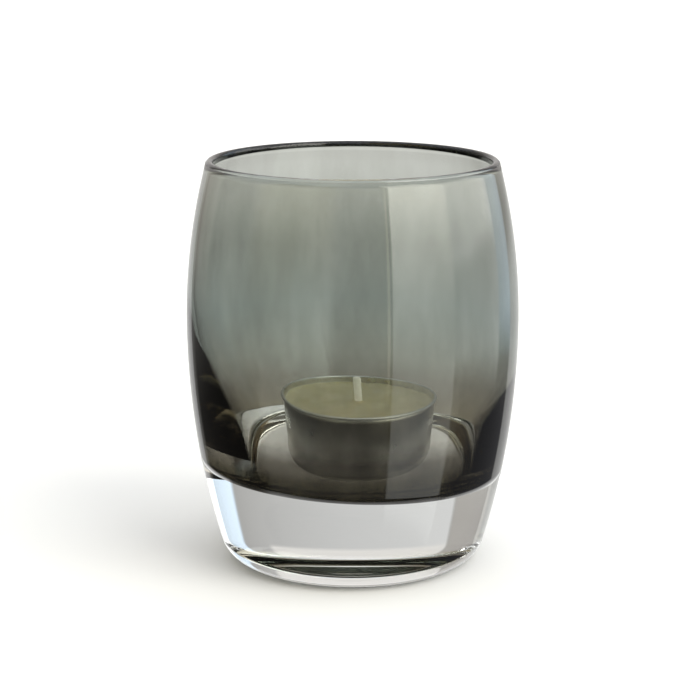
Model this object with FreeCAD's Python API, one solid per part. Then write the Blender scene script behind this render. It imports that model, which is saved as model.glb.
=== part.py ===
"""Glass candlestick: a barrel-shaped tumbler with a heavy clear foot, a smoke-grey
lacquer sprayed on its outside, and a tealight that stands on the floor of its cavity.

Millimetres. The origin is the centre of the foot on the table, and +Z points up the
axis of the glass. Every outline is a half section (radius, height) turned about Z.
"""
import FreeCAD, Part
import math
import os

# ---------------------------------------------------------------- driving dimensions
# outside of the glass
glass_height = 98.9          # table to the top of the fire-polished lip
belly_diameter = 80.8        # widest place, bare glass
belly_height = 59.5          # height of the widest place
rim_diameter = 70.6          # outside of the lip
wall = 1.7                   # glass thickness from the lip down to the shoulder
heel_diameter = 65.4         # where the barrel side ends and the rounded heel begins
heel_height = 6.2
punt_diameter = 42.0         # shallow hollow under the foot
punt_depth = 1.2

# cavity
base_thickness = 23.6        # table to the floor of the cavity
floor_diameter = 51.2        # flat part of the floor
floor_corner = 6.4           # round between the floor and the tapered side
taper_angle = 18.9           # tapered lower side, degrees from vertical
shoulder_radius = 60.0       # round between the tapered side and the barrel wall

# smoke lacquer on the outside
coat_thickness = 0.1
mask_height = 23.7           # height of its lower edge at the axis
mask_tilt = 2.6              # degrees that the lower edge drops towards +X

# tealight can
can_diameter = 39.0          # outside of the rolled rim
can_height = 15.4
can_base_diameter = 36.8
can_corner = 2.4
can_sheet = 0.25
rim_bead = 0.4               # radius of the rolled rim
can_offset_x = 0.9           # where the tealight stands, off the axis of the glass
can_offset_y = -3.2

# candle
wax_clearance = 0.15         # round the wax, inside the can
wax_below_rim = 2.4
wick_diameter = 2.0
wick_above_wax = 7.6
wick_tip = 0.7               # round on the end of the wick
tab_diameter = 13.0          # wick sustainer: a thin disc with a crimped neck
tab_sheet = 0.3
neck_sheet = 0.35
neck_height = 3.4


# ---------------------------------------------------------------- outline helpers
def point(radius, height):
    return FreeCAD.Vector(radius, 0, height)


def line(start, end):
    return Part.LineSegment(point(*start), point(*end)).toShape()


def on_circle(centre, radius, angle):
    return centre[0] + radius * math.cos(angle), centre[1] + radius * math.sin(angle)


def arc(centre, radius, first, last):
    """Arc in the half section, between two angles in radians."""
    ends = [on_circle(centre, radius, a) for a in (first, (first + last) / 2, last)]
    return Part.Arc(*[point(*e) for e in ends]).toShape()


def turned(edges):
    """Closed half section turned about Z into one solid."""
    face = Part.Face(Part.Wire(edges))
    solid = face.revolve(FreeCAD.Vector(0, 0, 0), FreeCAD.Vector(0, 0, 1), 360)
    if solid.Volume < 0:
        solid.reverse()
    return solid


def sagitta_radius(height, depth):
    """Radius of the arc that moves sideways by depth over this height, from a tangent."""
    return (height ** 2 + depth ** 2) / (2 * depth)


# ---------------------------------------------------------------- glass outline
class Barrel:
    """Circles of the glass wall: one arc above the belly and one below it."""
    half_wall = wall / 2
    belly = belly_diameter / 2
    lip_centre = (rim_diameter / 2 - half_wall, glass_height - half_wall)
    upper_mid = sagitta_radius(lip_centre[1] - belly_height, belly - half_wall - lip_centre[0])
    upper_outer = upper_mid + half_wall
    upper_inner = upper_mid - half_wall
    upper_centre = (belly - upper_outer, belly_height)
    lip_angle = math.asin((lip_centre[1] - belly_height) / upper_mid)
    lower_outer = sagitta_radius(belly_height - heel_height, belly - heel_diameter / 2)
    lower_inner = lower_outer - wall
    lower_centre = (belly - lower_outer, belly_height)
    heel_angle = math.asin((belly_height - heel_height) / lower_outer)
    heel_radius = heel_height / (1 - math.sin(heel_angle))
    heel_centre = (heel_diameter / 2 - heel_radius * math.cos(heel_angle), heel_radius)


def cavity_edges():
    """Inside of the glass from the lip down to the centre of the floor."""
    taper = math.radians(taper_angle)
    outward = (math.cos(taper), -math.sin(taper))
    corner_centre = (floor_diameter / 2, base_thickness + floor_corner)
    cone_foot = on_circle(corner_centre, floor_corner, -taper)
    # the shoulder's circle touches the tapered side and the barrel wall from inside
    start = [cone_foot[i] - shoulder_radius * outward[i] for i in (0, 1)]
    gap = [start[i] - Barrel.lower_centre[i] for i in (0, 1)]
    along = gap[0] * math.sin(taper) + gap[1] * math.cos(taper)
    reach = Barrel.lower_inner - shoulder_radius
    rise = -along + math.sqrt(along ** 2 - gap[0] ** 2 - gap[1] ** 2 + reach ** 2)
    shoulder_centre = (start[0] + rise * math.sin(taper), start[1] + rise * math.cos(taper))
    cone_head = on_circle(shoulder_centre, shoulder_radius, -taper)
    shoulder_angle = math.atan2(shoulder_centre[1] - Barrel.lower_centre[1],
                                shoulder_centre[0] - Barrel.lower_centre[0])
    return [
        arc(Barrel.upper_centre, Barrel.upper_inner, Barrel.lip_angle, 0),
        arc(Barrel.lower_centre, Barrel.lower_inner, 0, shoulder_angle),
        arc(shoulder_centre, shoulder_radius, shoulder_angle, -taper),
        line(cone_head, cone_foot),
        arc(corner_centre, floor_corner, -taper, -math.pi / 2),
        line((floor_diameter / 2, base_thickness), (0, base_thickness)),
    ]


def glass_body():
    punt_edge = punt_diameter / 2
    punt_radius = (punt_edge ** 2 + punt_depth ** 2) / (2 * punt_depth)
    punt_centre = (0, punt_depth - punt_radius)
    punt_angle = math.acos(punt_edge / punt_radius)
    heel = Barrel.heel_centre
    outside = [
        arc(punt_centre, punt_radius, math.pi / 2, punt_angle),
        line((punt_edge, 0), (heel[0], 0)),
        arc(heel, Barrel.heel_radius, -math.pi / 2, -Barrel.heel_angle),
        arc(Barrel.lower_centre, Barrel.lower_outer, -Barrel.heel_angle, 0),
        arc(Barrel.upper_centre, Barrel.upper_outer, 0, Barrel.lip_angle),
        arc(Barrel.lip_centre, Barrel.half_wall, Barrel.lip_angle, Barrel.lip_angle + math.pi),
    ]
    axis = [line((0, base_thickness), (0, punt_depth))]
    return turned(outside + cavity_edges() + axis)


# ---------------------------------------------------------------- smoke lacquer
def smoke_coating():
    """Skin on the barrel from the lip to a masked edge that lies a little askew."""
    low, high = -Barrel.heel_angle, Barrel.lip_angle
    lower_skin = Barrel.lower_outer + coat_thickness
    upper_skin = Barrel.upper_outer + coat_thickness
    ring = turned([
        arc(Barrel.lower_centre, Barrel.lower_outer, low, 0),
        arc(Barrel.upper_centre, Barrel.upper_outer, 0, high),
        line(on_circle(Barrel.upper_centre, Barrel.upper_outer, high),
             on_circle(Barrel.upper_centre, upper_skin, high)),
        arc(Barrel.upper_centre, upper_skin, high, 0),
        arc(Barrel.lower_centre, lower_skin, 0, low),
        line(on_circle(Barrel.lower_centre, lower_skin, low),
             on_circle(Barrel.lower_centre, Barrel.lower_outer, low)),
    ])
    size = 2 * belly_diameter
    masked = Part.makeBox(size, size, size, FreeCAD.Vector(-size / 2, -size / 2, -size))
    masked.rotate(FreeCAD.Vector(0, 0, 0), FreeCAD.Vector(0, 1, 0), mask_tilt)
    masked.translate(FreeCAD.Vector(0, 0, mask_height))
    return ring.cut(masked)


# ---------------------------------------------------------------- tealight
can_wall_radius = can_diameter / 2 - 2 * rim_bead + can_sheet   # the bead curls outwards from it
wax_level = can_height - wax_below_rim


def can_side_angle():
    """Lean of the can's side from vertical."""
    return math.atan2(can_wall_radius - can_base_diameter / 2, can_height - can_corner)


def can_outline(inset, top):
    """Side, corner and floor of the can moved inwards by inset, from height top down."""
    lean = can_side_angle()
    corner = can_corner - inset
    centre = (can_base_diameter / 2 - can_corner, can_corner)
    foot = on_circle(centre, corner, -lean)
    head = (foot[0] + (top - foot[1]) * math.tan(lean), top)
    return head, [
        line(head, foot),
        arc(centre, corner, -lean, -math.pi / 2),
        line((centre[0], centre[1] - corner), (0, centre[1] - corner)),
    ]


def on_floor(shape):
    """Stands a tealight piece on the floor of the cavity."""
    shape.translate(FreeCAD.Vector(can_offset_x, can_offset_y, base_thickness))
    return shape


def tealight_can():
    bead_height = can_height - rim_bead
    outer_head, outer = can_outline(0, bead_height)
    inner_head, inner = can_outline(can_sheet, bead_height)
    inner.reverse()
    floor_edge = line((0, 0), (0, can_sheet))
    shell = turned(outer + [floor_edge] + inner + [line(inner_head, outer_head)])
    bead = Part.makeTorus(can_diameter / 2 - rim_bead, rim_bead)
    bead.translate(FreeCAD.Vector(0, 0, bead_height))
    return on_floor(shell.fuse(bead).removeSplitter())


def wick_shape():
    radius = wick_diameter / 2
    bottom = can_sheet + tab_sheet
    top = wax_level + wick_above_wax
    return turned([
        line((0, bottom), (radius, bottom)),
        line((radius, bottom), (radius, top - wick_tip)),
        arc((radius - wick_tip, top - wick_tip), wick_tip, 0, math.pi / 2),
        line((radius - wick_tip, top), (0, top)),
        line((0, top), (0, bottom)),
    ])


def sustainer_shape():
    bore = wick_diameter / 2
    neck = bore + neck_sheet
    bottom = can_sheet
    face = bottom + tab_sheet
    return turned([
        line((0, bottom), (tab_diameter / 2, bottom)),
        line((tab_diameter / 2, bottom), (tab_diameter / 2, face)),
        line((tab_diameter / 2, face), (neck, face)),
        line((neck, face), (neck, face + neck_height)),
        line((neck, face + neck_height), (bore, face + neck_height)),
        line((bore, face + neck_height), (bore, face)),
        line((bore, face), (0, face)),
        line((0, face), (0, bottom)),
    ])


def candle_wax():
    """Wax cast round the wick and its sustainer, a loose fit in the can."""
    head, side = can_outline(can_sheet + wax_clearance, wax_level + wax_clearance)
    centre_line = line((0, can_sheet + wax_clearance), (0, head[1]))
    block = turned(side + [centre_line, line((0, head[1]), head)])
    block.translate(FreeCAD.Vector(0, 0, -wax_clearance))   # down onto the floor of the can
    return on_floor(block.cut(sustainer_shape()).cut(wick_shape()))


PARTS = {
    "glass_body": glass_body,
    "smoke_coating": smoke_coating,
    "tealight_can": tealight_can,
    "candle_wax": candle_wax,
    "wick": lambda: on_floor(wick_shape()),
    "wick_sustainer": lambda: on_floor(sustainer_shape()),
}

os.makedirs("parts", exist_ok=True)
for name, make in PARTS.items():
    shape = make()
    shape.exportStep("parts/%s.step" % name)
    print("%-15s solids %d  valid %s  volume %.2f mm3" % (
        name, len(shape.Solids), shape.isValid(), shape.Volume))
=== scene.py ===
# %% [markdown]
# # A smoked glass candlestick
# A barrel-shaped tumbler of clear glass stands on a thick clear foot. Its outside is sprayed with
# a translucent smoke-grey lacquer down to a masked edge, and a tealight stands inside. The shapes
# are simple turned ones, so nearly all of the look is in how light bends and is lost in the glass.

# %% Load the engineering model as a fixed frame
import bpy
import math
import random
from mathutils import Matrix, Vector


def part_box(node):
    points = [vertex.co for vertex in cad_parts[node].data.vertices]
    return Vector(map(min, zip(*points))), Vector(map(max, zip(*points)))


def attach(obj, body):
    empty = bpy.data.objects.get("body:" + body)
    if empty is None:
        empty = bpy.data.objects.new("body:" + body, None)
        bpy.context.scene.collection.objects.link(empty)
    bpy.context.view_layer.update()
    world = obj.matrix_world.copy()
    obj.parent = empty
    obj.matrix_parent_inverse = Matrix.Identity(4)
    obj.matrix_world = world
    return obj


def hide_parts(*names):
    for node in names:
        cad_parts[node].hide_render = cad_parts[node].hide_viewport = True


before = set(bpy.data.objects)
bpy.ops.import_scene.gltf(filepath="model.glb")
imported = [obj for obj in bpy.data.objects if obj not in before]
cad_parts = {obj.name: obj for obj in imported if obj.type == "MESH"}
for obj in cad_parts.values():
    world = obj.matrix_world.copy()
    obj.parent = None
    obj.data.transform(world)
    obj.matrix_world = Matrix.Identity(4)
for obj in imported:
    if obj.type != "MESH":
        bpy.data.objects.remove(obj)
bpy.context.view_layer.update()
print("nodes in the frame:", sorted(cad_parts))

# %% Small helpers: millimetres, and sRGB hex colours turned to linear
MM = 0.001


def linear(hex_colour, strength=1.0):
    """Linear RGBA of an sRGB hex colour, which is what a shader socket takes."""
    channels = [int(hex_colour[i:i + 2], 16) / 255 for i in (1, 3, 5)]
    bent = [c / 12.92 if c <= 0.04045 else ((c + 0.055) / 1.055) ** 2.4 for c in channels]
    return tuple(strength * c for c in bent) + (1.0,)


def smooth(low, high, value):
    """0 below low, 1 above high, and an even S between them."""
    t = min(max((value - low) / (high - low), 0.0), 1.0)
    return t * t * (3 - 2 * t)


# %% [markdown]
# ## Turning a shape
# Blown glass, a drawn can and a cast candle are all turned shapes. A Screw modifier would turn an
# outline too, but a function that places every ring itself can also bend the rings a little, and
# real glass needs that: no blown cavity is quite in the middle of its mould.

# %% A lathe that places each ring of points itself
def lathe(name, rings, segments, closed=False, place=None, slot_of=None):
    """Mesh object from (radius, height) rings in mm; a radius of 0 makes a pole.

    place(ring, angle, radius, height) may return a moved (x, y, z) in mm.
    closed joins the last ring to the first. slot_of(ring) picks the material slot of the
    band of faces between that ring and the next."""
    points, rows = [], []
    for index, (radius, height) in enumerate(rings):
        count = 1 if radius == 0 else segments
        row = []
        for step in range(count):
            angle = 2 * math.pi * step / segments
            spot = (radius * math.cos(angle), radius * math.sin(angle), height)
            if place:
                spot = place(index, angle, radius, height)
            row.append(len(points))
            points.append([c * MM for c in spot])
        rows.append(row)
    faces, slots = [], []
    pairs = list(zip(range(len(rows)), range(1, len(rows))))
    if closed:
        pairs.append((len(rows) - 1, 0))
    for first, second in pairs:
        low, high = rows[first], rows[second]
        for step in range(segments):
            nxt = (step + 1) % segments
            ring_low = [low[step], low[nxt]] if len(low) > 1 else [low[0]]
            ring_high = [high[nxt], high[step]] if len(high) > 1 else [high[0]]
            faces.append(ring_low + ring_high)
            slots.append(slot_of(first) if slot_of else 0)
    mesh = bpy.data.meshes.new(name)
    mesh.from_pydata(points, [], faces)
    mesh.validate()
    mesh.polygons.foreach_set("material_index", slots)
    mesh.polygons.foreach_set("use_smooth", [True] * len(faces))
    piece = bpy.data.objects.new(name, mesh)
    bpy.context.scene.collection.objects.link(piece)
    return piece


def arc(centre, radius, first, last, steps):
    """(radius, height) points on a circle, both ends included."""
    turns = [first + (last - first) * i / steps for i in range(steps + 1)]
    return [(centre[0] + radius * math.cos(a), centre[1] + radius * math.sin(a)) for a in turns]


# %% [markdown]
# ## The tumbler's outline
# The wall is drawn as the mould maker would: one arc above the widest place and one below it, a
# rounded heel, a fire-polished lip, and a tapered lower cavity that leaves the thick foot.
# The overall sizes are read from the frame, so the visible glass fills the same space.

# %% Sizes of the tumbler, in millimetres
glass_low, glass_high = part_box("glass_body")
HEIGHT = glass_high[2] / MM
BELLY = glass_high[0] / MM
BELLY_HEIGHT = 59.5
RIM = 35.3                  # radii, like BELLY: RIM, HEEL, PUNT and FLOOR
WALL = 1.7
LIP_SWELL = 0.05
HEEL = 32.7
HEEL_HEIGHT = 5.2
PUNT = 21.0
PUNT_DEPTH = 1.2
FLOOR_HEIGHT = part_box("tealight_can")[0][2] / MM
FLOOR = 27.2
FLOOR_CORNER = 4.1
TAPER = math.radians(18.9)
SHOULDER = 60.0
COAT = 0.1
MASK_HEIGHT = 23.7
MASK_SLOPE = math.tan(math.radians(2.6))
BACK_SAG = 5.0              # how far the masked edge dips at the back, which is a guess
print("glass %.1f mm tall, %.1f mm across its belly" % (HEIGHT, 2 * BELLY))


# %% Circles of the barrel wall
def sagitta_radius(height, depth):
    """Radius of an arc that leaves its tangent by depth over this height."""
    return (height ** 2 + depth ** 2) / (2 * depth)


lip_centre = (RIM - WALL / 2, HEIGHT - WALL / 2)
upper_mid = sagitta_radius(lip_centre[1] - BELLY_HEIGHT, BELLY - WALL / 2 - lip_centre[0])
upper_centre = (BELLY - upper_mid - WALL / 2, BELLY_HEIGHT)
lip_angle = math.asin((lip_centre[1] - BELLY_HEIGHT) / upper_mid)
lower_outer = sagitta_radius(BELLY_HEIGHT - HEEL_HEIGHT, BELLY - HEEL)
lower_centre = (BELLY - lower_outer, BELLY_HEIGHT)
heel_angle = math.asin((BELLY_HEIGHT - HEEL_HEIGHT) / lower_outer)
heel_radius = HEEL_HEIGHT / (1 - math.sin(heel_angle))
heel_centre = (HEEL - heel_radius * math.cos(heel_angle), heel_radius)
print("barrel arcs %.0f and %.0f mm, heel %.1f mm" % (upper_mid, lower_outer, heel_radius))


def swell(height):
    """Extra half thickness of the wall, which gathers into a bead as the lip is fire polished."""
    return LIP_SWELL * smooth(94.0, HEIGHT - WALL / 2, height)


def outside_at(height, proud=0.0):
    """Radius and height of the barrel's outside at this height, or proud of it."""
    above = height > BELLY_HEIGHT
    centre, radius = (upper_centre, upper_mid + WALL / 2) if above else (lower_centre, lower_outer)
    angle = math.asin((height - BELLY_HEIGHT) / radius)
    reach = radius + proud + swell(height)
    return centre[0] + reach * math.cos(angle), centre[1] + reach * math.sin(angle)


# %% Inside of the cavity, from the lip down to the middle of its floor
def cavity():
    corner = (FLOOR, FLOOR_HEIGHT + FLOOR_CORNER)
    foot = arc(corner, FLOOR_CORNER, -TAPER, -math.pi / 2, 14)
    outward = (math.cos(TAPER), -math.sin(TAPER))
    start = [foot[0][i] - SHOULDER * outward[i] for i in (0, 1)]
    gap = [start[i] - lower_centre[i] for i in (0, 1)]
    along = gap[0] * math.sin(TAPER) + gap[1] * math.cos(TAPER)
    reach = lower_outer - WALL - SHOULDER
    rise = -along + math.sqrt(along ** 2 - gap[0] ** 2 - gap[1] ** 2 + reach ** 2)
    shoulder = (start[0] + rise * math.sin(TAPER), start[1] + rise * math.cos(TAPER))
    turn = math.atan2(shoulder[1] - lower_centre[1], shoulder[0] - lower_centre[0])
    barrel = arc(upper_centre, upper_mid - WALL / 2, lip_angle, 0, 30)
    barrel += arc(lower_centre, lower_outer - WALL, 0, turn, 6)[1:]
    round_in = arc(shoulder, SHOULDER, turn, -TAPER, 16)[1:]
    cone = [(round_in[-1][0] + (foot[0][0] - round_in[-1][0]) * i / 16,
             round_in[-1][1] + (foot[0][1] - round_in[-1][1]) * i / 16) for i in range(1, 16)]
    floor = [(FLOOR * (1 - i / 8), FLOOR_HEIGHT) for i in range(1, 8)] + [(0, FLOOR_HEIGHT)]
    return barrel + round_in + cone + foot + floor


# %% [markdown]
# ## Rings that follow the masked edge
# The lacquer stops where a mask was taped on, and the tape lay a little askew. The rings of the
# mesh near that edge are tilted with it, so the two finishes meet on one clean line of edges and
# neither of them needs a painted boundary. The edge is also let down a little at the
# back, out of sight: a guess that gives the grey seen through the cavity behind the candle.

# %% Tumbler mesh
SEGMENTS = 240
FOOT_RINGS = 14
COAT_RINGS = 48
DRIFT = (1.37, 0.75)        # how far the lower cavity is blown off centre
DRIFT_HEIGHTS = (40, 68)    # the drift fades out between them


def mask_at(angle):
    """Height of the masked edge round the glass; the tape sagged a little at the back."""
    sag = BACK_SAG * smooth(0.0, 1.0, math.sin(angle))
    return MASK_HEIGHT - sag - MASK_SLOPE * outside_at(MASK_HEIGHT)[0] * math.cos(angle)


coat_top = upper_centre[1] + (upper_mid + WALL / 2) * math.sin(lip_angle)
punt_radius = sagitta_radius(PUNT, PUNT_DEPTH)
punt_turn = math.acos(PUNT / punt_radius)
under = arc((0, PUNT_DEPTH - punt_radius), punt_radius, math.pi / 2, punt_turn, 12)
under[0] = (0, PUNT_DEPTH)
under += [(PUNT + 1.5, 0), (heel_centre[0], 0)]
under += arc(heel_centre, heel_radius, -math.pi / 2, -heel_angle, 20)[1:]
side = [(BELLY, 0.0)] * (FOOT_RINGS + COAT_RINGS)
lip = arc(lip_centre, WALL / 2 + LIP_SWELL, lip_angle, lip_angle + math.pi, 20)
inside = cavity()[1:]
tumbler_rings = under + side + lip + inside
FIRST_SIDE = len(under)
FIRST_COAT = FIRST_SIDE + FOOT_RINGS - 1
LAST_COAT = FIRST_SIDE + len(side)
FIRST_INSIDE = LAST_COAT + len(lip)


def side_height(ring, angle):
    """Height of one tilted ring of the outside."""
    edge = mask_at(angle)
    step = ring - FIRST_SIDE + 1
    if step <= FOOT_RINGS:
        return HEEL_HEIGHT + (edge - HEEL_HEIGHT) * step / FOOT_RINGS
    return edge + (coat_top - edge) * (step - FOOT_RINGS) / (COAT_RINGS + 1)


def place_tumbler(ring, angle, radius, height):
    if FIRST_SIDE <= ring < LAST_COAT:
        radius, height = outside_at(side_height(ring, angle))
    if ring >= FIRST_INSIDE:
        radius -= swell(height)
    x, y = radius * math.cos(angle), radius * math.sin(angle)
    if ring >= FIRST_INSIDE:
        drift = 1 - smooth(DRIFT_HEIGHTS[0], DRIFT_HEIGHTS[1], height)
        x, y = x + DRIFT[0] * drift, y + DRIFT[1] * drift
    return x, y, height


def tumbler_slot(ring):
    """1 where the lacquer covers the glass, 0 where the glass is bare."""
    return 1 if FIRST_COAT <= ring < LAST_COAT else 0


tumbler = lathe("tumbler", tumbler_rings, SEGMENTS, place=place_tumbler, slot_of=tumbler_slot)
print("tumbler:", len(tumbler.data.vertices), "points")

# %% Lacquer skin: the same tilted rings, a hair off the glass and a tenth of a millimetre proud
GAP = 0.01
skin_out = [(BELLY, 0.0)] * (COAT_RINGS + 2)
skin_rings = skin_out + skin_out


def place_skin(ring, angle, radius, height):
    outer = ring < len(skin_out)
    step = ring if outer else len(skin_rings) - 1 - ring
    radius, height = outside_at(side_height(FIRST_COAT + step, angle), COAT if outer else GAP)
    return radius * math.cos(angle), radius * math.sin(angle), height


def skin_slot(ring):
    """1 on the hidden face that is bonded to the glass."""
    return 1 if len(skin_out) <= ring < len(skin_rings) - 1 else 0


lacquer = lathe("smoke_lacquer", skin_rings, SEGMENTS, closed=True, place=place_skin,
                slot_of=skin_slot)
print("lacquer:", len(lacquer.data.vertices), "points")

# %% [markdown]
# ## The tealight
# A tealight can is deep drawn from aluminium foil a quarter of a millimetre thick, and its cut edge
# is rolled outwards so that it can't cut a finger. The candle is a plug of paraffin cast round a
# braided wick. Foil never stays quite round, and wax creeps up whatever it touches as it sets.

# %% Where the tealight stands
can_low, can_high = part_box("tealight_can")
CAN_X = (can_low[0] + can_high[0]) / 2 / MM
CAN_Y = (can_low[1] + can_high[1]) / 2 / MM
CAN_RIM = (can_high[0] - can_low[0]) / 2 / MM
CAN_TOP = (can_high[2] - can_low[2]) / MM
SHEET = 0.25
BEAD = 0.4
CAN_FOOT = 18.4
CAN_CORNER = 2.4
WAX_GAP = 0.15
WAX_TOP = CAN_TOP - 2.4
print("tealight %.1f mm across, %.1f mm tall" % (2 * CAN_RIM, CAN_TOP))


def ripple(angle, height, seed):
    """Slow uneven wave round a turned piece, between about -1 and 1."""
    draw = random.Random(seed)
    total = 0.0
    for turns in (2, 3, 5, 8, 13):
        phase, climb = draw.uniform(0, 6.283), draw.uniform(-0.12, 0.12)
        total += math.sin(turns * angle + phase + climb * height) / turns ** 0.5
    return total / 2.2


def stand(x, y, height):
    """Moves a point of the tealight to its place on the floor of the glass."""
    return x + CAN_X, y + CAN_Y, height + FLOOR_HEIGHT


# %% Aluminium can with a rolled rim
corner = (CAN_FOOT - CAN_CORNER, CAN_CORNER)
bead = (CAN_RIM - BEAD, CAN_TOP - BEAD)
wall_top = (CAN_RIM - 2 * BEAD + SHEET, CAN_TOP - 2 * BEAD)
lean = math.atan2(wall_top[0] - CAN_FOOT, wall_top[1] - CAN_CORNER)


def can_side(inset):
    """Side of the can from its top to its corner, and round the corner to its floor."""
    turn = arc(corner, CAN_CORNER - inset, -lean, -math.pi / 2, 8)
    head = (wall_top[0] - inset, wall_top[1])
    rows = [tuple(head[i] + (turn[0][i] - head[i]) * step / 12 for i in (0, 1))
            for step in range(12)]
    return rows + turn


outer_side = can_side(0.0)[::-1]
rolled = arc(bead, BEAD, math.radians(-125), math.radians(180), 14)
can_rings = [(0, 0.0), (8, 0.0)] + outer_side + rolled + can_side(SHEET) + [(8, SHEET), (0, SHEET)]


def place_can(ring, angle, radius, height):
    loose = smooth(0.0, CAN_TOP, height) * smooth(12.0, 17.0, radius)
    radius += 0.09 * loose * ripple(angle, height, 4) - 0.09 * loose
    return stand(radius * math.cos(angle), radius * math.sin(angle), height)


can = lathe("drawn_can", can_rings, 192, place=place_can)
print("can:", len(can.data.vertices), "points")

# %% Cast wax, which creeps up the can and up the wick
wax_side = [(r, z) for r, z in can_side(SHEET + WAX_GAP) if z < WAX_TOP][::-1]
wax_edge = wall_top[0] - SHEET - WAX_GAP
wax_top = [(wax_edge * (1 - (step / 40) ** 1.4), WAX_TOP) for step in range(40)] + [(0, WAX_TOP)]
wax_rings = [(0, SHEET)] + wax_side + wax_top
EDGE_CREEP = 0.34
WICK_CREEP = 0.5
SINK = 0.16


def place_wax(ring, angle, radius, height):
    x, y = radius * math.cos(angle), radius * math.sin(angle)
    if ring > len(wax_side):
        creep = EDGE_CREEP + 0.30 * ripple(angle, 0.0, 9) + 0.28 * max(0.0, ripple(angle, 0.0, 21))
        height += creep * math.exp(-(wax_edge - radius) / 0.55)
        height += WICK_CREEP * math.exp(-max(radius - 1.0, 0.0) / 0.7)
        height -= SINK * math.exp(-((radius - 7.0) / 5.0) ** 2)
        height += 0.05 * math.sin(0.9 * x + 1.3) * math.sin(0.7 * y + 0.4)
    return stand(x, y, height)


wax = lathe("cast_wax", wax_rings, 192, place=place_wax)
print("wax:", len(wax.data.vertices), "points")

# %% [markdown]
# ## The wick
# Three cotton strands are braided and dipped in wax. The crossings of the braid are modelled by
# two sets of ridges that climb the wick in opposite ways, and the wax has rounded its cut end.

# %% Braided wick
wick_low, wick_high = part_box("wick")
WICK = (wick_high[0] - wick_low[0]) / 2 / MM
WICK_FOOT = wick_low[2] / MM - FLOOR_HEIGHT
WICK_TOP = wick_high[2] / MM - FLOOR_HEIGHT
WICK_TIP = 0.7
BRAID_PITCH = 2.6
tip = arc((WICK - WICK_TIP, WICK_TOP - WICK_TIP), WICK_TIP, 0, math.pi / 2, 8)
wick_rings = [(0, WICK_FOOT)]
wick_rings += [(WICK, WICK_FOOT + (WICK_TOP - WICK_TIP - WICK_FOOT) * i / 110) for i in range(110)]
wick_rings += tip + [(0, WICK_TOP)]


def place_wick(ring, angle, radius, height):
    climb = 2 * math.pi * height / BRAID_PITCH
    ridge = max(math.sin(2 * angle + climb), math.sin(2 * angle - climb))
    body = smooth(WICK_TOP, WICK_TOP - 1.6, height)
    radius *= 0.98 + 0.06 * ridge - 0.06 * body
    bow = 0.22 * smooth(WAX_TOP, WICK_TOP, height)
    return stand(radius * math.cos(angle) - bow, radius * math.sin(angle), height)


wick = lathe("braided_wick", wick_rings, 48, place=place_wick)
print("wick:", len(wick.data.vertices), "points")

# %% [markdown]
# ## Shader nodes
# One function adds a node, sets it and links it, so that a material reads as a list of nodes.

# %% Add one node with its settings and links
def node(tree, kind, settings=None, inputs=None):
    made = tree.nodes.new(kind)
    for name, value in (settings or {}).items():
        setattr(made, name, value)
    for socket, value in (inputs or {}).items():
        if isinstance(value, bpy.types.NodeSocket):
            tree.links.new(value, made.inputs[socket])
        else:
            made.inputs[socket].default_value = value
    return made


def material(name):
    """An empty node material and its tree."""
    made = bpy.data.materials.new(name)
    made.use_nodes = True
    made.node_tree.nodes.clear()
    return made, made.node_tree


def ramp(made, stops, mode="LINEAR"):
    """Sets the stops of a colour ramp: (position, linear colour) pairs."""
    made.color_ramp.interpolation = mode
    elements = made.color_ramp.elements
    while len(elements) > 1:
        elements.remove(elements[-1])
    elements[0].position, elements[0].color = stops[0]
    for position, colour in stops[1:]:
        elements.new(position).color = colour


# %% [markdown]
# ## The glass and its lacquer
# Blown glass is perfectly smooth, so its look comes only from how it bends and mirrors light. Where
# lacquer covers it the two bend light alike and their joint can't be seen, so the glass is left
# open there and the skin's outer face does the bending for both. An absorbing volume could tint
# the film too, but a film a tenth of a millimetre thick is steadier as a tint on its face.

# %% Clear soda-lime glass: gives the foot its clean bands of light
GLASS_IOR = 1.52
clear_glass, tree = material("clear_soda_lime_glass")
bend = node(tree, "ShaderNodeBsdfPrincipled", {}, {
    "Base Color": linear("#FBFDFC"), "Roughness": 0.0, "IOR": GLASS_IOR,
    "Transmission Weight": 1.0})
node(tree, "ShaderNodeOutputMaterial", {}, {"Surface": bend.outputs[0]})
print(clear_glass.name, "bends light by", GLASS_IOR)

# %% Glass bonded to lacquer: the two bend light alike, so their joint can't be seen
bonded_glass, tree = material("glass_bonded_to_lacquer")
through = node(tree, "ShaderNodeBsdfTransparent", {}, {"Color": linear("#FFFFFF")})
node(tree, "ShaderNodeOutputMaterial", {}, {"Surface": through.outputs[0]})
print(bonded_glass.name, "is open to light")

# %% Smoke lacquer: dyed clear lacquer, heavier towards the foot and thinner round the back
smoke_lacquer, tree = material("sprayed_smoke_lacquer")
where = node(tree, "ShaderNodeNewGeometry")
apart = node(tree, "ShaderNodeSeparateXYZ", {}, {0: where.outputs["Position"]})
climb = node(tree, "ShaderNodeMapRange", {}, {
    "Value": apart.outputs["Z"], "From Min": 22 * MM, "From Max": 98 * MM})
even = node(tree, "ShaderNodeValToRGB", {}, {0: climb.outputs[0]})
ramp(even, [
    (0.000, linear("#0E0D08")),
    (0.039, linear("#211E15")),
    (0.086, linear("#3E3A2E")),
    (0.145, linear("#6C675D")),
    (0.211, linear("#B6B3A9")),
    (0.289, linear("#BDBDB4")),
    (0.368, linear("#B7BAB5")),
    (0.461, linear("#B8BEBA")),
    (0.566, linear("#BCC2BE")),
    (0.684, linear("#BDC1BC")),
    (0.816, linear("#C2C4BE")),
    (1.000, linear("#DEDFD9")),
])
thin = node(tree, "ShaderNodeValToRGB", {}, {0: climb.outputs[0]})
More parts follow.
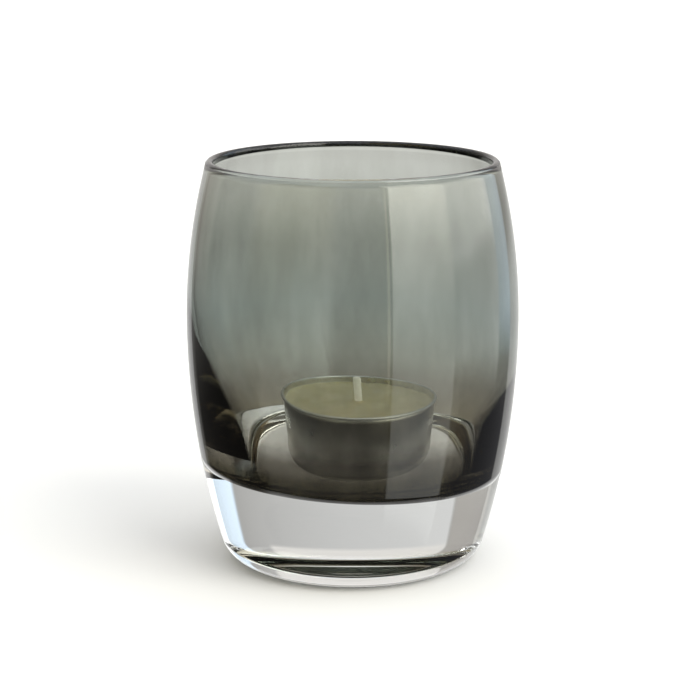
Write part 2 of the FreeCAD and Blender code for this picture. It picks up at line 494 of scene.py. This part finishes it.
ramp(thin, [
    (0.000, linear("#A8A192")),
    (0.145, linear("#ABA59A")),
    (0.250, linear("#BAB8AE")),
    (0.461, linear("#B8BEBA")),
    (0.684, linear("#BDC1BC")),
    (1.000, linear("#DEDFD9")),
])
behind = node(tree, "ShaderNodeMapRange", {"interpolation_type": "SMOOTHSTEP"}, {
    "Value": apart.outputs["Y"], "From Min": -8 * MM, "From Max": 16 * MM})
sprayed = node(tree, "ShaderNodeMix", {"data_type": "RGBA"}, {
    "Factor": behind.outputs[0], 6: even.outputs[0], 7: thin.outputs[0]})
streaks = node(tree, "ShaderNodeMapping", {"vector_type": "POINT"}, {
    "Vector": where.outputs["Position"], "Scale": (1.0, 1.0, 0.3)})
passes = node(tree, "ShaderNodeTexNoise", {}, {
    "Vector": streaks.outputs[0], "Scale": 1 / (9 * MM), "Detail": 6.0, "Roughness": 0.62})
load = node(tree, "ShaderNodeMapRange", {}, {
    "Value": passes.outputs[0], "From Min": 0.3, "From Max": 0.7, "To Min": 0.86, "To Max": 1.14})
tint = node(tree, "ShaderNodeGamma", {}, {"Color": sprayed.outputs[2], "Gamma": load.outputs[0]})
twice = node(tree, "ShaderNodeMix", {"data_type": "RGBA", "blend_type": "MULTIPLY"}, {
    "Factor": 1.0, 6: tint.outputs[0], 7: tint.outputs[0]})
mirror = node(tree, "ShaderNodeMix", {"data_type": "RGBA"}, {
    "Factor": where.outputs["Backfacing"], 6: linear("#FFFFFF"), 7: twice.outputs[2]})
share = node(tree, "ShaderNodeFresnel", {}, {"IOR": GLASS_IOR})
bend = node(tree, "ShaderNodeBsdfRefraction", {}, {
    "Color": tint.outputs[0], "Roughness": 0.0, "IOR": GLASS_IOR})
gloss = node(tree, "ShaderNodeBsdfAnisotropic", {}, {
    "Color": mirror.outputs[2], "Roughness": 0.0})
both = node(tree, "ShaderNodeMixShader", {}, {
    0: share.outputs[0], 1: bend.outputs[0], 2: gloss.outputs[0]})
node(tree, "ShaderNodeOutputMaterial", {}, {"Surface": both.outputs[0]})
print(smoke_lacquer.name, "has", len(tree.nodes), "nodes")

# %% [markdown]
# ## The tealight's finishes
# Foil drawn through a die is scored along its draw, wax is cloudy and lets light a little way in,
# and cotton is a bundle of fibres. Each is a noise at the size of the real mark, stretched along
# the direction in which the piece was worked.

# %% Drawn aluminium: a soft sheen with fine draw lines and a few handling marks
foil, tree = material("drawn_aluminium_foil")
spot = node(tree, "ShaderNodeNewGeometry")
stretch = node(tree, "ShaderNodeMapping", {"vector_type": "POINT"}, {
    "Vector": spot.outputs["Position"], "Scale": (1.0, 1.0, 0.05)})
drawn = node(tree, "ShaderNodeTexNoise", {}, {
    "Vector": stretch.outputs[0], "Scale": 1 / (0.5 * MM), "Detail": 3.0})
handled = node(tree, "ShaderNodeTexNoise", {}, {
    "Vector": spot.outputs["Position"], "Scale": 1 / (7 * MM), "Detail": 4.0})
tone = node(tree, "ShaderNodeValToRGB", {}, {0: handled.outputs[0]})
ramp(tone, [(0.35, linear("#CBCAC4")), (0.65, linear("#E0DFDA"))])
worn = node(tree, "ShaderNodeMapRange", {}, {
    "Value": handled.outputs[0], "From Min": 0.3, "From Max": 0.7, "To Min": 0.26, "To Max": 0.40})
lines = node(tree, "ShaderNodeBump", {}, {
    "Strength": 0.35, "Distance": 0.02 * MM, "Height": drawn.outputs[0]})
dents = node(tree, "ShaderNodeBump", {}, {
    "Strength": 0.6, "Distance": 0.25 * MM, "Height": handled.outputs[0],
    "Normal": lines.outputs[0]})
metal = node(tree, "ShaderNodeBsdfPrincipled", {}, {
    "Base Color": tone.outputs[0], "Metallic": 1.0, "Roughness": worn.outputs[0],
    "Normal": dents.outputs[0]})
node(tree, "ShaderNodeOutputMaterial", {}, {"Surface": metal.outputs[0]})
print(foil.name, "has", len(tree.nodes), "nodes")

# %% Paraffin wax: light goes a millimetre or two into it and comes out warm and softened
paraffin, tree = material("cast_paraffin_wax")
spot = node(tree, "ShaderNodeNewGeometry")
cloud = node(tree, "ShaderNodeTexNoise", {}, {
    "Vector": spot.outputs["Position"], "Scale": 1 / (5 * MM), "Detail": 5.0, "Roughness": 0.6})
tone = node(tree, "ShaderNodeValToRGB", {}, {0: cloud.outputs[0]})
ramp(tone, [(0.30, linear("#D8CDA2")), (0.60, linear("#E4DAB4")), (0.80, linear("#EDE6C8"))])
grain = node(tree, "ShaderNodeTexNoise", {}, {
    "Vector": spot.outputs["Position"], "Scale": 1 / (0.9 * MM), "Detail": 3.0})
skin = node(tree, "ShaderNodeBump", {}, {
    "Strength": 0.4, "Distance": 0.06 * MM, "Height": grain.outputs[0]})
body = node(tree, "ShaderNodeBsdfPrincipled", {}, {
    "Base Color": tone.outputs[0], "Roughness": 0.48, "IOR": 1.44,
    "Subsurface Weight": 0.3, "Subsurface Radius": (1.0, 0.8, 0.5), "Subsurface Scale": 1.5 * MM,
    "Normal": skin.outputs[0]})
node(tree, "ShaderNodeOutputMaterial", {}, {"Surface": body.outputs[0]})
print(paraffin.name, "has", len(tree.nodes), "nodes")

# %% Waxed cotton: fine twisted fibres, with a faint painted glow that stands in for the light falling on the wick
cotton, tree = material("waxed_cotton_braid")
spot = node(tree, "ShaderNodeNewGeometry")
fibres = node(tree, "ShaderNodeMapping", {"vector_type": "POINT"}, {
    "Vector": spot.outputs["Position"], "Rotation": (0.5, 0.35, 0.0), "Scale": (1.0, 1.0, 0.2)})
twist = node(tree, "ShaderNodeTexNoise", {}, {
    "Vector": fibres.outputs[0], "Scale": 1 / (0.18 * MM), "Detail": 4.0})
tone = node(tree, "ShaderNodeValToRGB", {}, {0: twist.outputs[0]})
ramp(tone, [(0.30, linear("#EFE9D6")), (0.70, linear("#FFFDF4"))])
nap = node(tree, "ShaderNodeBump", {}, {
    "Strength": 0.6, "Distance": 0.08 * MM, "Height": twist.outputs[0]})
# The emission is painted light: the wick is no lamp, and its faint glow stands in for light falling
# on it.
body = node(tree, "ShaderNodeBsdfPrincipled", {}, {
    "Base Color": tone.outputs[0], "Roughness": 0.6, "IOR": 1.45, "Normal": nap.outputs[0],
    "Emission Color": linear("#FFF8E6"), "Emission Strength": 0.3})
node(tree, "ShaderNodeOutputMaterial", {}, {"Surface": body.outputs[0]})
print(cotton.name, "has", len(tree.nodes), "nodes")

# %% Tinned steel of the hidden wick sustainer: dull, with the grain of the rolled strip
tin, tree = material("tin_plated_steel")
spot = node(tree, "ShaderNodeNewGeometry")
strip = node(tree, "ShaderNodeMapping", {"vector_type": "POINT"}, {
    "Vector": spot.outputs["Position"], "Scale": (1.0, 0.06, 1.0)})
rolled_grain = node(tree, "ShaderNodeTexNoise", {}, {
    "Vector": strip.outputs[0], "Scale": 1 / (0.3 * MM), "Detail": 3.0})
tone = node(tree, "ShaderNodeValToRGB", {}, {0: rolled_grain.outputs[0]})
ramp(tone, [(0.30, linear("#A9A9A4")), (0.70, linear("#C6C6C1"))])
score = node(tree, "ShaderNodeBump", {}, {
    "Strength": 0.4, "Distance": 0.01 * MM, "Height": rolled_grain.outputs[0]})
metal = node(tree, "ShaderNodeBsdfPrincipled", {}, {
    "Base Color": tone.outputs[0], "Metallic": 1.0, "Roughness": 0.38,
    "Normal": score.outputs[0]})
node(tree, "ShaderNodeOutputMaterial", {}, {"Surface": metal.outputs[0]})
print(tin.name, "has", len(tree.nodes), "nodes")

# %% Put the finishes on the glass and on the tealight
for piece, finishes, cad_node, body, slot in (
        (tumbler, (clear_glass, bonded_glass), "glass_body", "holder", "clear_glass"),
        (lacquer, (smoke_lacquer, bonded_glass), "smoke_coating", "holder", "smoke_lacquer"),
        (can, (foil,), "tealight_can", "tealight", "can_aluminium"),
        (wax, (paraffin,), "candle_wax", "candle", "paraffin_wax"),
        (wick, (cotton,), "wick", "candle", "waxed_cotton")):
    for finish in finishes:
        piece.data.materials.append(finish)
    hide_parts(cad_node)
    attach(piece, body)
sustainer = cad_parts["wick_sustainer"]
sustainer.material_slots[0].material = tin
print("pieces finished:", ", ".join(p.name for p in (tumbler, lacquer, can, wax, wick)))

# %% [markdown]
# ## Stage
# A pale table, a soft studio dome and a camera a little above the glass. The table takes the
# glass's shadow, but bent and mirrored rays pass through it to the dome, which is painted with
# everything that the glass should show.

# %% Floor
def plain(name, colour):
    made, tree = material(name)
    shade = node(tree, "ShaderNodeBsdfDiffuse", {}, {"Color": colour})
    node(tree, "ShaderNodeOutputMaterial", {}, {"Surface": shade.outputs[0]})
    return made


bpy.ops.mesh.primitive_plane_add(size=12.0, location=(0, 0, 0))
floor = bpy.context.object
floor.name = "studio_floor"
floor.data.materials.append(plain("white_table", linear("#FBFBFB")))
floor.visible_glossy = False
floor.visible_transmission = False

# %% [markdown]
# ## Studio dome
# Glass shows its surroundings more than itself, so the dome is painted like a small
# daylight studio: a pale sweep behind, a window to the right of the lens with its frame, a cool and a
# white reflector at the far right, dim ground at both sides for the dark wedges of the thick glass,
# and a warm wall to the left. The camera sees plain white past the glass.

# %% World
world = bpy.data.worlds.new("studio_dome")
bpy.context.scene.world = world
world.use_nodes = True
tree = world.node_tree
tree.nodes.clear()
where = node(tree, "ShaderNodeTexCoord")
toward = node(tree, "ShaderNodeSeparateXYZ", {}, {0: where.outputs["Generated"]})
around = node(tree, "ShaderNodeMath", {"operation": "ARCTAN2"}, {
    0: toward.outputs["X"], 1: toward.outputs["Y"]})
azimuth = node(tree, "ShaderNodeMath", {"operation": "DEGREES"}, {0: around.outputs[0]}).outputs[0]
rise = node(tree, "ShaderNodeMath", {"operation": "ARCSINE"}, {0: toward.outputs["Z"]})
elevation = node(tree, "ShaderNodeMath", {"operation": "DEGREES"}, {0: rise.outputs[0]}).outputs[0]


def between(value, low, high, soft):
    """1 from low to high degrees, falling to 0 over soft degrees at each end."""
    rising = node(tree, "ShaderNodeMapRange", {"interpolation_type": "SMOOTHSTEP"}, {
        "Value": value, "From Min": low - soft / 2, "From Max": low + soft / 2})
    falling = node(tree, "ShaderNodeMapRange", {"interpolation_type": "SMOOTHSTEP"}, {
        "Value": value, "From Min": high - soft / 2, "From Max": high + soft / 2,
        "To Min": 1.0, "To Max": 0.0})
    return node(tree, "ShaderNodeMath", {"operation": "MULTIPLY"}, {
        0: rising.outputs[0], 1: falling.outputs[0]}).outputs[0]


def panel(below, colour, sides, heights, soft=4.0):
    """Lays a soft-edged patch of light over what is painted so far.

    sides are degrees round from straight behind the glass, positive to the right, and
    heights are degrees above the horizon."""
    wide = between(azimuth, sides[0], sides[1], soft)
    tall = between(elevation, heights[0], heights[1], 2 * soft)
    mask = node(tree, "ShaderNodeMath", {"operation": "MULTIPLY"}, {0: wide, 1: tall})
    return node(tree, "ShaderNodeMix", {"data_type": "RGBA"}, {
        "Factor": mask.outputs[0], 6: below, 7: colour}).outputs[2]


def by_angle(value, low, high, stops):
    """Colours along a range of degrees."""
    share = node(tree, "ShaderNodeMapRange", {}, {
        "Value": value, "From Min": low, "From Max": high})
    made = node(tree, "ShaderNodeValToRGB", {}, {0: share.outputs[0]})
    ramp(made, stops)
    return made.outputs[0]


room = by_angle(elevation, -90, 90, [
    (0.25, linear("#6C6963")), (0.36, linear("#9A9893")), (0.46, linear("#8E8D8A")),
    (0.56, linear("#8E8D8A")), (0.72, linear("#EEF0F4")), (1.0, linear("#FAFCFF", 1.45))])
sweep = by_angle(azimuth, -32, 41, [
    (0.0, linear("#DCDBDA")), (0.45, linear("#CFCECD")), (1.0, linear("#B4B2B0"))])
# pale ground under the glass, and dim ground to its left and right
painted = panel(room, linear("#E6E6E4"), (-100, 100), (-88, -56), 4)
painted = panel(painted, linear("#4A4845"), (-112, -38), (-50, -13), 6)
painted = panel(painted, linear("#77777A"), (41, 100), (-50, -16), 4)
# the sweep behind, its lit middle and its shaded left end
painted = panel(painted, sweep, (-32, 41), (-36, 30), 3)
painted = panel(painted, linear("#F0F0EE"), (-32, 41), (-80, -6), 3)
painted = panel(painted, linear("#E9E5E1"), (-32, 26), (4, 30), 3)
painted = panel(painted, linear("#B2ADA8"), (-60, -32), (-8, 30), 3)
# reflectors to the right, and the warm wall to the left of the lens
painted = panel(painted, linear("#DDECFA", 1.35), (41, 62), (-12, 40), 3)
painted = panel(painted, linear("#FBFCFA", 1.3), (60, 107), (-15, 0), 3)
painted = panel(painted, linear("#FBFCFA", 2.4), (60, 107), (0, 40), 3)
painted = panel(painted, linear("#FFF4CC", 0.75), (-166, -104), (3, 62), 16)
painted = panel(painted, linear("#E9F0E8", 1.1), (-166, -138), (-15, 3), 7)
# the window, brighter upwards, with its frame and the light past it
window = by_angle(elevation, -22, 22, [
    (0.0, linear("#F4F6F2", 1.5)), (0.35, linear("#F6F8F2", 1.8)),
    (0.7, linear("#FCFCF4", 3.3)), (0.9, linear("#FFFDF4", 4.2))])
painted = panel(painted, window, (106, 153), (-40, 60), 2.5)
painted = panel(painted, linear("#6E6C66"), (153, 154.6), (-30, 60), 0.6)
painted = panel(painted, linear("#FFF6DC", 1.3), (154.6, 156.4), (-20, 60), 0.8)
dome = node(tree, "ShaderNodeBackground", {}, {"Color": painted})
plain_white = node(tree, "ShaderNodeBackground", {}, {"Color": linear("#FFFFFF")})
seen = node(tree, "ShaderNodeLightPath")
sky = node(tree, "ShaderNodeMixShader", {}, {
    0: seen.outputs["Is Camera Ray"], 1: dome.outputs[0], 2: plain_white.outputs[0]})
node(tree, "ShaderNodeOutputWorld", {}, {"Surface": sky.outputs[0]})
print("dome painted with", len(tree.nodes), "nodes")

# %% Camera
DISTANCE, LENS_HEIGHT, TILT, SWING = 0.4998, 0.16666, 0.2259, 0.0013
FOCAL_SHARE = 2.9835
camera_data = bpy.data.cameras.new("camera")
camera_data.sensor_width = 36.0
camera_data.lens = 36.0 * FOCAL_SHARE
camera = bpy.data.objects.new("camera", camera_data)
camera.location = (0, -DISTANCE, LENS_HEIGHT)
camera.rotation_euler = (math.pi / 2 - TILT, 0, SWING)
bpy.context.scene.collection.objects.link(camera)
bpy.context.scene.camera = camera
print("camera %.0f mm away and %.0f mm up" % (DISTANCE / MM, LENS_HEIGHT / MM))

# %% Light settings for thick glass
scene = bpy.context.scene
scene.view_settings.view_transform = "Standard"
scene.cycles.max_bounces = 40
scene.cycles.transmission_bounces = 40
scene.cycles.glossy_bounces = 24
scene.cycles.transparent_max_bounces = 96
